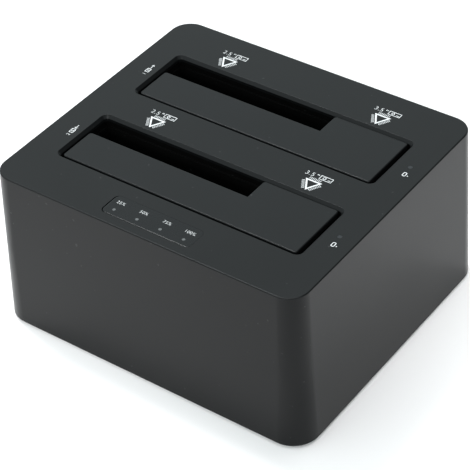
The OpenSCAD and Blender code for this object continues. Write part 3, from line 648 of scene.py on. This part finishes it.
def joined(name, meshes):
    """One piece made of several meshes, which it takes the place of."""
    work = bmesh.new()
    for mesh in meshes:
        work.from_mesh(mesh)
        bpy.data.meshes.remove(mesh)
    mesh = bpy.data.meshes.new(name)
    work.to_mesh(mesh)
    work.free()
    return link(name, mesh)


def drive_size_mark(words, s):
    """Drive width in inches and a plain drive, above a hatched arrow into the bay."""
    ink, high, half, line = Ink(), s.number_height, s.number_height * 0.5, 0.28 * MM
    words_x, spacing, ticks, tick_foot = -3.2 * MM, 1.08, (-0.45 * MM, 0.1 * MM), 0.2
    ink.numerals(words, words_x, 0.0, high, spacing)
    for x in ticks:
        ink.stroke([(x, half), (x, high * tick_foot)], line)

    left, right, case_line = 1.0 * MM, 5.8 * MM, 0.24 * MM
    hub_x, hub_radius, hub_line = left + 1.7 * MM, 0.55 * MM, 0.26 * MM
    label, label_y = (left + 3.2 * MM, left + 4.3 * MM), -0.35 * MM
    case = [(left, -half), (right, -half), (right, half), (left, half)]
    ink.stroke(case, case_line, closed=True)
    ink.ring(hub_x, 0.0, hub_radius, hub_line)
    ink.stroke([(x, label_y) for x in label], line)

    side, drop, shift, arrow_line = s.arrow_width, 4.9 * MM, 0.25 * MM, 0.62 * MM
    tall = side * math.sqrt(3) / 2
    corners = [Vector((shift - side / 2, tall / 3 - drop)),
               Vector((shift + side / 2, tall / 3 - drop)),
               Vector((shift, -tall * 2 / 3 - drop))]
    ink.stroke([tuple(c) for c in corners], arrow_line, closed=True)
    hatches, first, span, reaches, hatch_line = 8, 0.12, 0.76, (0.6, 1.7), 0.22 * MM
    for i in range(3):
        a, b = corners[i], corners[(i + 1) % 3]
        out = Vector(((a - b).y, (b - a).x)).normalized()
        for j in range(hatches):
            foot = a.lerp(b, first + span * j / (hatches - 1))
            ink.stroke([tuple(foot + out * reach * MM) for reach in reaches], hatch_line)
    return ink


def bay_mark(number, inwards):
    """Bay numeral with a plain disk box and the way that data goes."""
    number_x, number_height = -2.9 * MM, 1.5 * MM
    left, right, half, box_line = -1.5, 0.7, 0.75, 0.26 * MM
    hub_x, hub_radius, hub_line = -0.4 * MM, 0.35 * MM, 0.18 * MM
    near, far, barb, arrow_line = 1.2, 3.4, (0.75, 0.6), 0.24 * MM
    ink = Ink()
    ink.numerals(number, number_x, 0.0, number_height)
    box = [(left, -half), (right, -half), (right, half), (left, half)]
    ink.stroke([(x * MM, y * MM) for x, y in box], box_line, closed=True)
    ink.ring(hub_x, 0.0, hub_radius, hub_line)
    tip, tail = (near, far) if inwards else (far, near)
    back = tip + (barb[0] if inwards else -barb[0])
    ink.stroke([(tail * MM, 0.0), (tip * MM, 0.0)], arrow_line)
    head = [(back, barb[1]), (tip, 0.0), (back, -barb[1])]
    ink.stroke([(x * MM, y * MM) for x, y in head], arrow_line)
    return ink


def disk_mark():
    """Small disk case with a dot beside it."""
    wide, high, corner, steps, line = 0.56 * MM, 0.98 * MM, 0.4 * MM, 5, 0.3 * MM
    dot_x, dot_y, dot_radius = 1.4 * MM, -0.4 * MM, 0.24 * MM
    path = []
    for i, (x, y) in enumerate(((1, 1), (-1, 1), (-1, -1), (1, -1))):
        for j in range(steps + 1):
            a = math.pi / 2 * (i + j / steps)
            path.append((x * (wide - corner) + corner * math.cos(a),
                         y * (high - corner) + corner * math.sin(a)))
    ink = Ink()
    ink.stroke(path, line, closed=True)
    ink.dot(dot_x, dot_y, dot_radius)
    return ink


def level_mark(words, s):
    """Progress in per cent."""
    ink, spacing = Ink(), 1.05
    ink.numerals(words, 0.0, 0.0, s.level_height, spacing)
    return ink


def rocker_mark(bar):
    """Bar or ring for one end of the power rocker."""
    ring_radius, ring_line, bar_half, bar_line = 0.95 * MM, 0.3 * MM, 1.1 * MM, 0.34 * MM
    ink = Ink()
    if bar:
        ink.stroke([(0.0, -bar_half), (0.0, bar_half)], bar_line)
    else:
        ink.ring(0.0, 0.0, ring_radius, ring_line)
    return ink


# Settings

def length(name, text, default):
    return FloatProperty(name=name, description=text, default=default, unit="LENGTH", precision=5)


def tint(name, text, default):
    return FloatVectorProperty(name=name, description=text, default=default, subtype="COLOR",
                               min=0.0, max=1.0)


def share(name, text, default):
    return FloatProperty(name=name, description=text, default=default, subtype="FACTOR",
                         min=0.0, max=1.0)


class DockFinish(bpy.types.PropertyGroup):
    housing: tint("Housing", "Satin plastic of the housing", (0.0042, 0.0045, 0.0047))
    housing_roughness: share("Housing roughness", "Roughness of the housing", 0.31)
    door: tint("Doors", "Plastic of the bay doors", (0.0045, 0.0049, 0.0052))
    door_roughness: share("Door roughness", "Roughness of the doors", 0.31)
    window: tint("Window", "Plastic of the progress window", (0.0045, 0.0050, 0.0054))
    window_roughness: share("Window roughness", "Roughness of the window", 0.27)
    gloss: share("Gloss", "Strength of the outer plastic's reflection", 0.2)
    inner: tint("Guides", "Plastic of the drive guides", (0.0018, 0.0018, 0.0017))
    switch: tint("Switches", "Plastic of switches and sockets", (0.009, 0.009, 0.0095))
    rubber: tint("Feet", "Rubber of the feet", (0.014, 0.014, 0.014))
    steel: tint("Steel", "Plated steel", (0.62, 0.62, 0.63))
    gold: tint("Gold", "Gold plate of the contacts", (0.83, 0.6, 0.24))
    board: tint("Circuit board", "Solder mask of the boards", (0.012, 0.09, 0.04))
    light_guide: tint("Light guides", "Milky light guides in the window", (0.11, 0.113, 0.115))
    light_pipe: tint("Light pipes", "Smoked light pipes beside the bays", (0.02, 0.022, 0.025))
    lamp: tint("Lamps", "Lamp bodies on the boards", (0.8, 0.78, 0.6))
    insert: tint("Socket insert", "Plastic tongue of the data socket", (0.02, 0.09, 0.42))
    chip: tint("Chips", "Moulded chip bodies", (0.012, 0.012, 0.013))
    header: tint("Headers", "Plastic of the cable headers", (0.7, 0.68, 0.6))
    can: tint("Capacitors", "Metal cans of the capacitors", (0.7, 0.7, 0.72))
    cable: tint("Ribbon cable", "Sleeve of the ribbon cable", (0.35, 0.35, 0.37))
    ink: tint("Ink", "White ink of the printed marks", (0.74, 0.74, 0.74))


class DockMarks(bpy.types.PropertyGroup):
    film: length("Film", "Thickness of the ink", 0.01 * MM)
    lift: length("Lift", "Gap between the ink and what carries it", 0.002 * MM)
    number_height: length("Drive size", "Height of the drive sizes", 2.05 * MM)
    level_height: length("Level numbers", "Height of the progress numbers", 1.45 * MM)
    level_y: length("Level row", "Distance of the progress numbers from their lights", 4.15 * MM)
    arrow_width: length("Arrow", "Side of the arrow at a bay", 5.7 * MM)
    inch_x: length("Size place", "Distance of the drive sizes from the middle", 34.2 * MM)
    inch_y: length("Size row", "Distance of the drive sizes from a bay's middle", 25.0 * MM)
    bay_x: length("Bay place", "Place of the bay numerals", -56.4 * MM)
    disk_x: length("Disk place", "Place of the disk marks", 59.1 * MM)
    disk_y: length("Disk row", "Distance of the disk marks from a bay's middle", -3.3 * MM)


class DockHardware(bpy.types.PropertyGroup):
    wire: length("Spring wire", "Radius of the door springs' wire", 0.25 * MM)
    coil: length("Spring coil", "Radius of the door springs' coil", 1.6 * MM)
    curls: IntProperty(name="Spring curls", description="Whole curls of a door spring",
                       default=5, min=1)
    leg_down: length("Lower leg", "Length of a spring's leg on the guide", 8.0 * MM)
    leg_back: length("Upper leg", "Length of a spring's leg under the door", 9.0 * MM)
    cross: length("Screw cross", "Width of the cross in a screw head", 0.55 * MM)
    cross_depth: length("Cross depth", "Depth of the cross in a screw head", 0.7 * MM)
    rocker_tilt: FloatProperty(name="Rocker tilt", description="Tilt of the power rocker at rest",
                               default=math.radians(9.0), subtype="ANGLE")
    soft_edge: length("Soft edge", "Rounding of sharp moulded edges", 0.12 * MM)
    window_grow: length("Window growth", "How much further the window's edge reaches", 0.09 * MM)
    window_gap: FloatVectorProperty(
        name="Window gap", description="Wider gaps at the window's left and near edges",
        size=2, unit="LENGTH", precision=5, default=(0.3 * MM, 0.2 * MM))
    window_slope: FloatVectorProperty(
        name="Window slope", description="Slopes of the window's left and near edges",
        size=2, default=(0.28, 0.3))
    window_corner: length("Window corner", "Corner radius of the progress window", 2.0 * MM)
    window_edge: length("Window edge", "Reach of the window's rounded edge", 0.45 * MM)
    window_rim: length("Window rim", "Width of the sloping edges", 0.2 * MM)


class DockStage(bpy.types.PropertyGroup):
    lens: FloatProperty(name="Lens", description="Focal length of the camera in millimetres",
                        subtype="DISTANCE_CAMERA", default=145.88)
    place: FloatVectorProperty(name="Camera place", description="Where the camera stands",
                               unit="LENGTH", default=(0.330527, -0.434210, 0.478321))
    turn: FloatVectorProperty(
        name="Camera turn", description="How the camera is turned", subtype="EULER",
        default=tuple(math.radians(a) for a in (50.37528, 2.39937, 35.47141)))
    floor: tint("Floor", "Colour of the floor", (0.96, 0.92, 0.91))
    sky: FloatProperty(name="Surround", description="Brightness of the surround",
                       default=0.93, min=0.0)
    sky_tint: tint("Surround tint", "Colour of the surround", (0.87, 0.98, 1.0))
    lamp_tint: tint("Lamp tint", "Colour of the lamps", (0.97, 0.985, 1.0))
    floor_size: length("Floor size", "Side of the floor", 12.0)


# Patches of the surround: direction, inner and outer angle in degrees, change of brightness
PATCHES = (
    ((0.45, 0.62, 0.64), 24.0, 42.0, -0.85),
    ((-0.47, -0.6, 0.65), 12.0, 40.0, 0.6),
    ((-0.47, 0.61, 0.64), 14.0, 38.0, 0.42))

# Lamps: name, kind, place, what they point at, size, cone in degrees, watts
LAMPS = (
    ("overhead softbox", "AREA", (-0.64, 0.24, 1.43), (0.0, 0.0, 0.0), 0.3, 0.0, 11.0),
    ("top softbox", "AREA", (0.06, 0.16, 1.55), (0.0, 0.0, 0.0), 0.3, 0.0, 4.0),
    ("front spot", "SPOT", (0.25, -0.9, 0.6), (-0.07, -0.12, 0.0), 0.1, 22.0, 36.0),
    ("right spot", "SPOT", (0.5, -0.05, 0.85), (0.17, 0.065, 0.0), 0.1, 17.0, 32.0))


# Operators

class DOCK_OT_housing(bpy.types.Operator):
    """Housing and base plate in satin plastic"""
    bl_idname = "dock.housing"
    bl_label = "Housing"

    def execute(self, context):
        refined("upper_housing", "housing plastic", "housing_plastic")
        refined("base_plate", "housing plastic", "housing_plastic")
        return {"FINISHED"}


class DOCK_OT_doors(bpy.types.Operator):
    """Both bay doors with their hinge pins and springs"""
    bl_idname = "dock.doors"
    bl_label = "Bay doors"

    def execute(self, context):
        h = context.scene.dock_hardware
        tree = tree_named("spring wire", wire_tree)
        for side in SIDES:
            refined(side + "_bay_door", "door plastic", "door_plastic")
            refined(side + "_hinge_pin", "plated steel", "steel", h.soft_edge)
            node = side + "_door_spring"
            pivot = Vector(JOINTS[side + "_door_hinge"]["pos_m"])
            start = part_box(node)[0].x + h.wire
            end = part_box(node)[1].x - h.wire
            line = spring_line(start, end, pivot, h)
            wire = grown(node + "_wire", tree, "plated steel", line,
                         edges=[(i, i + 1) for i in range(len(line) - 1)],
                         Wire_Radius=h.wire, Sides=12)
            paint(wire, "plated steel")
            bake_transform(wire)
            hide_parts(node)
        return {"FINISHED"}


class DOCK_OT_progress_panel(bpy.types.Operator):
    """Progress window, its light guides and the light pipes beside the bays"""
    bl_idname = "dock.progress_panel"
    bl_label = "Progress panel"

    def execute(self, context):
        h = context.scene.dock_hardware
        low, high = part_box("progress_window")

        def set_in(spot):
            """Sets the window off centre in its seat, with sloping left and near edges."""
            inset, out = outline_inset(spot, low, high, h.window_corner)
            if inset > h.window_edge:
                return spot
            left, near = max(-out.x, 0.0), max(-out.y, 0.0)
            rim = max(h.window_rim * (1.0 + left) - inset, 0.0)
            top = high.z - rim * (h.window_slope[0] * left + h.window_slope[1] * near)
            return Vector((spot.x + h.window_grow * out.x + h.window_gap[0] * left,
                           spot.y + h.window_grow * out.y + h.window_gap[1] * near,
                           top if spot.z > high.z - h.window_edge else spot.z))

        window_smooth = 9.0  # degrees, so that the sloping edges stay crisp
        refined("progress_window", "window plastic", "housing_plastic", angle=window_smooth,
                shape=set_in)
        refined("progress_light_guides", "light guide", "clear_plastic")
        for side in SIDES:
            refined(side + "_light_pipe", "smoked light pipe", "clear_plastic")
        return {"FINISHED"}


class DOCK_OT_bays(bpy.types.Operator):
    """Drive guides and sockets, with the sockets' spring contacts"""
    bl_idname = "dock.bays"
    bl_label = "Drive bays"

    def execute(self, context):
        h = context.scene.dock_hardware
        seat, blade, bow = 0.2, 0.4, -0.7  # shares of a contact's depth
        tree = tree_named("spring blades", blade_tree)
        for side in SIDES:
            refined(side + "_drive_guide", "black plastic", "black_plastic", h.soft_edge)
            refined(side + "_drive_socket", "switch plastic", "black_plastic", h.soft_edge)
            node = side + "_socket_contacts"
            boxes = islands(node)
            wide, thick, tall = boxes[0][1] - boxes[0][0]
            spots = [((low.x + high.x) / 2, high.y - thick * seat, low.z) for low, high in boxes]
            blades = grown(node + "_blades", tree, "gold plate", spots, Width=wide,
                           Thickness=thick * blade, Length=tall, Bow=thick * bow)
            settle(blades, "gold plate", "enclosure", "gold_contact", node)
        return {"FINISHED"}


class DOCK_OT_connectors(bpy.types.Operator):
    """Data socket, power inlet, power switch and copy button at the back"""
    bl_idname = "dock.connectors"
    bl_label = "Connectors"

    def execute(self, context):
        edge = context.scene.dock_hardware.soft_edge
        for node, material, slot in (
                ("usb_shell", "plated steel", "steel"),
                ("usb_insert", "blue plastic", "blue_plastic"),
                ("power_inlet", "switch plastic", "black_plastic"),
                ("power_inlet_pin", "plated steel", "steel"),
                ("power_switch_frame", "switch plastic", "black_plastic"),
                ("power_switch_terminals", "plated steel", "steel"),
                ("power_rocker", "switch plastic", "black_plastic"),
                ("copy_switch", "plated steel", "steel"),
                ("copy_switch_plunger", "switch plastic", "black_plastic")):
            refined(node, material, slot, edge)
        refined("copy_button", "switch plastic", "black_plastic")
        tree = tree_named("spring blades", blade_tree)
        boxes = islands("usb_contacts")
        wide, deep, thick = boxes[0][1] - boxes[0][0]
        spots = [((low.x + high.x) / 2, low.y, (low.z + high.z) / 2) for low, high in boxes]
        turns = [(-math.pi / 2, 0.0, 0.0)] * len(spots)
        strips = grown("usb_contact_strips", tree, "gold plate", spots, turns, Width=wide,
                       Thickness=thick, Length=deep, Bow=0.0)
        settle(strips, "gold plate", "enclosure", "gold_contact", "usb_contacts")
        return {"FINISHED"}


class DOCK_OT_fasteners(bpy.types.Operator):
    """Screws and rubber feet"""
    bl_idname = "dock.fasteners"
    bl_label = "Screws and feet"

    def execute(self, context):
        h = context.scene.dock_hardware
        refined("rubber_feet", "foot rubber", "rubber", angle=50.0)
        tree = tree_named("cross-head screws", screw_tree)
        large, small = (1.25 * MM, 1.6 * MM), (0.9 * MM, 1.2 * MM)  # shank radius, head height
        turn_step = 0.3  # each screw is turned a little further than the last
        for node, (shank, head), upright in (
                ("housing_screws", large, True), ("guide_screws", small, True),
                ("board_screws", large, False), ("progress_board_screws", small, True)):
            boxes = islands(node)
            low, high = boxes[0]
            spots = [((a.x + b.x) / 2, (a.y + b.y) / 2, a.z + head if upright else b.z - head)
                     for a, b in boxes]
            turns = [(0.0 if upright else math.pi, 0.0, turn_step * i) for i in range(len(boxes))]
            screws = grown(node + "_cross_head", tree, "plated steel", spots, turns,
                           Head_Radius=(high.x - low.x) / 2, Head_Height=head,
                           Shank_Radius=shank, Shank_Length=high.z - low.z - head,
                           Cross_Width=h.cross, Cross_Depth=h.cross_depth)
            settle(screws, "plated steel", "enclosure", "steel", node)
        return {"FINISHED"}


class DOCK_OT_boards(bpy.types.Operator):
    """Circuit boards and what stands on them"""
    bl_idname = "dock.boards"
    bl_label = "Boards"

    def execute(self, context):
        edge = context.scene.dock_hardware.soft_edge
        for node, material, slot in (
                ("main_board", "circuit board", "circuit_board"),
                ("progress_board", "circuit board", "circuit_board"),
                ("bridge_chip", "chip", "chip"), ("memory_chip", "chip", "chip"),
                ("capacitors", "capacitor can", "can"),
                ("ribbon_headers", "header plastic", "header_plastic"),
                ("progress_lamps", "lamp", "lamp"), ("activity_lamps", "lamp", "lamp")):
            refined(node, material, slot, edge)
        refined("inductors", "chip", "chip")
        paint(frame["nodes"]["ribbon_cable"], "ribbon cable")
        return {"FINISHED"}


class DOCK_OT_marks(bpy.types.Operator):
    """White marks on the top and on the power rocker"""
    bl_idname = "dock.marks"
    bl_label = "Printed marks"

    def execute(self, context):
        s, h = context.scene.dock_marks, context.scene.dock_hardware

        def on_top(x, y, turn=0.0):
            return Matrix.Translation((x, y, TOP + s.lift)) @ Matrix.Rotation(turn, 4, "Z")

        made = []
        for side, number, inwards in (("rear", "1", False), ("front", "2", True)):
            bay = bay_middle(side)
            for words, x in (("2.5", -s.inch_x), ("3.5", s.inch_x)):
                made.append(drive_size_mark(words, s).printed(on_top(x, bay + s.inch_y), s.film))
            place = on_top(s.bay_x, bay, math.pi / 2)
            made.append(bay_mark(number, inwards).printed(place, s.film))
            made.append(disk_mark().printed(on_top(s.disk_x, bay + s.disk_y), s.film))
        lights = islands("progress_light_guides")
        for (low, high), words in zip(lights, ("25%", "50%", "75%", "100%")):
            middle = (low + high) / 2
            place = on_top(middle.x, middle.y + s.level_y)
            made.append(level_mark(words, s).printed(place, s.film))
        settle(joined("top_marks", made), "white ink", "enclosure", "white_ink")

        # The rocker's two faces meet in a dip behind its pivot and rise towards its ends.
        dip, slope, reach = 1.5 * MM, math.atan2(1.0, 5.5), 2.7 * MM
        pivot = Vector(JOINTS["power_rocker_hinge"]["pos_m"])
        tilt = Matrix.Translation(pivot) @ Matrix.Rotation(h.rocker_tilt, 4, "Z")
        lift = Matrix.Translation((0.0, 0.0, s.lift))
        made = []
        for sign in (-1, 1):
            spot = Vector((sign * reach * math.cos(slope), dip + reach * math.sin(slope), 0.0))
            face = (Matrix.Translation(spot) @ Matrix.Rotation(sign * slope, 4, "Z")
                    @ Matrix.Rotation(math.pi, 4, "Z") @ Matrix.Rotation(math.pi / 2, 4, "X"))
            made.append(rocker_mark(sign > 0).printed(tilt @ face @ lift, s.film))
        settle(joined("rocker_marks", made), "white ink", "power_rocker", "white_ink")
        return {"FINISHED"}


class DOCK_OT_stage(bpy.types.Operator):
    """Pale floor, soft light and the camera"""
    bl_idname = "dock.stage"
    bl_label = "Stage"

    def execute(self, context):
        s, scene = context.scene.dock_stage, context.scene
        half = s.floor_size / 2
        mesh = bpy.data.meshes.new("floor")
        corners = ((-half, -half), (half, -half), (half, half), (-half, half))
        mesh.from_pydata([(x, y, 0.0) for x, y in corners], [], [(0, 1, 2, 3)])
        floor = link("floor", mesh)
        g = Finish("pale floor")
        cloud = g.noise(1.5)
        mesh.materials.append(g.surface(
            Base_Color=g.mottle(cloud, s.floor, 0.98, 1.02),
            Roughness=0.75 + 0.1 * cloud, Specular_IOR_Level=0.2))

        world = scene.world or bpy.data.worlds.new("surround")
        scene.world = world
        world.use_nodes = True
        sky = Graph(world.node_tree)
        way = sky.node("ShaderNodeTexCoord")["Generated"]

        def patch(towards, narrow, wide):
            """How far a direction lies inside a round patch of the surround."""
            near = sky.node("ShaderNodeVectorMath", {"operation": "DOT_PRODUCT"}, {
                0: way, 1: Vector(towards).normalized()})["Value"]
            return sky.node("ShaderNodeMapRange", {"interpolation_type": "SMOOTHSTEP"}, {
                0: near, 1: math.cos(math.radians(wide)), 2: math.cos(math.radians(narrow)),
                3: 0.0, 4: 1.0})[0]

        level = 1.0
        for towards, narrow, wide, change in PATCHES:
            level = level + change * patch(towards, narrow, wide)
        shine = sky.node("ShaderNodeBackground", inputs={
            "Color": (*s.sky_tint, 1.0), "Strength": s.sky * level})
        sky.node("ShaderNodeOutputWorld", inputs={"Surface": shine[0]})
        for name, kind, place, aim, size, cone, power in LAMPS:
            light = bpy.data.lights.new(name, kind)
            light.energy, light.color = power, s.lamp_tint
            if kind == "AREA":
                light.shape, light.size = "DISK", size
            else:
                light.shadow_soft_size, light.spot_blend = size, 1.0
                light.spot_size = math.radians(cone)
            lamp = link(name, light)
            lamp.location = place
            lamp.rotation_euler = (Vector(aim) - Vector(place)).to_track_quat("-Z", "Y").to_euler()

        camera = bpy.data.cameras.new("camera")
        camera.lens, camera.sensor_width, camera.clip_start = s.lens, 36.0, 0.01
        eye = link("camera", camera)
        eye.location, eye.rotation_euler = s.place, s.turn
        scene.camera = eye
        scene.view_settings.view_transform = "Standard"
        return {"FINISHED"}


PIECES = (DOCK_OT_housing, DOCK_OT_doors, DOCK_OT_progress_panel, DOCK_OT_bays, DOCK_OT_connectors,
          DOCK_OT_fasteners, DOCK_OT_boards, DOCK_OT_marks, DOCK_OT_stage)


class DOCK_PT_panel(bpy.types.Panel):
    """Lists the dock's pieces"""
    bl_idname = "DOCK_PT_panel"
    bl_label = "Docking station"
    bl_space_type = "VIEW_3D"
    bl_region_type = "UI"
    bl_category = "Dock"

    def draw(self, context):
        for piece in PIECES:
            self.layout.operator(piece.bl_idname)


SETTINGS = {"dock_finish": DockFinish, "dock_marks": DockMarks, "dock_hardware": DockHardware,
            "dock_stage": DockStage}


def register():
    for item in (*SETTINGS.values(), *PIECES, DOCK_PT_panel):
        bpy.utils.register_class(item)
    for name, group in SETTINGS.items():
        setattr(bpy.types.Scene, name, PointerProperty(type=group))


def unregister():
    for name in SETTINGS:
        delattr(bpy.types.Scene, name)
    for item in (DOCK_PT_panel, *reversed(PIECES), *reversed(tuple(SETTINGS.values()))):
        bpy.utils.unregister_class(item)


def main():
    register()
    for piece in PIECES:
        group, name = piece.bl_idname.split(".")
        getattr(getattr(bpy.ops, group), name)()


if __name__ == "__main__":
    main()
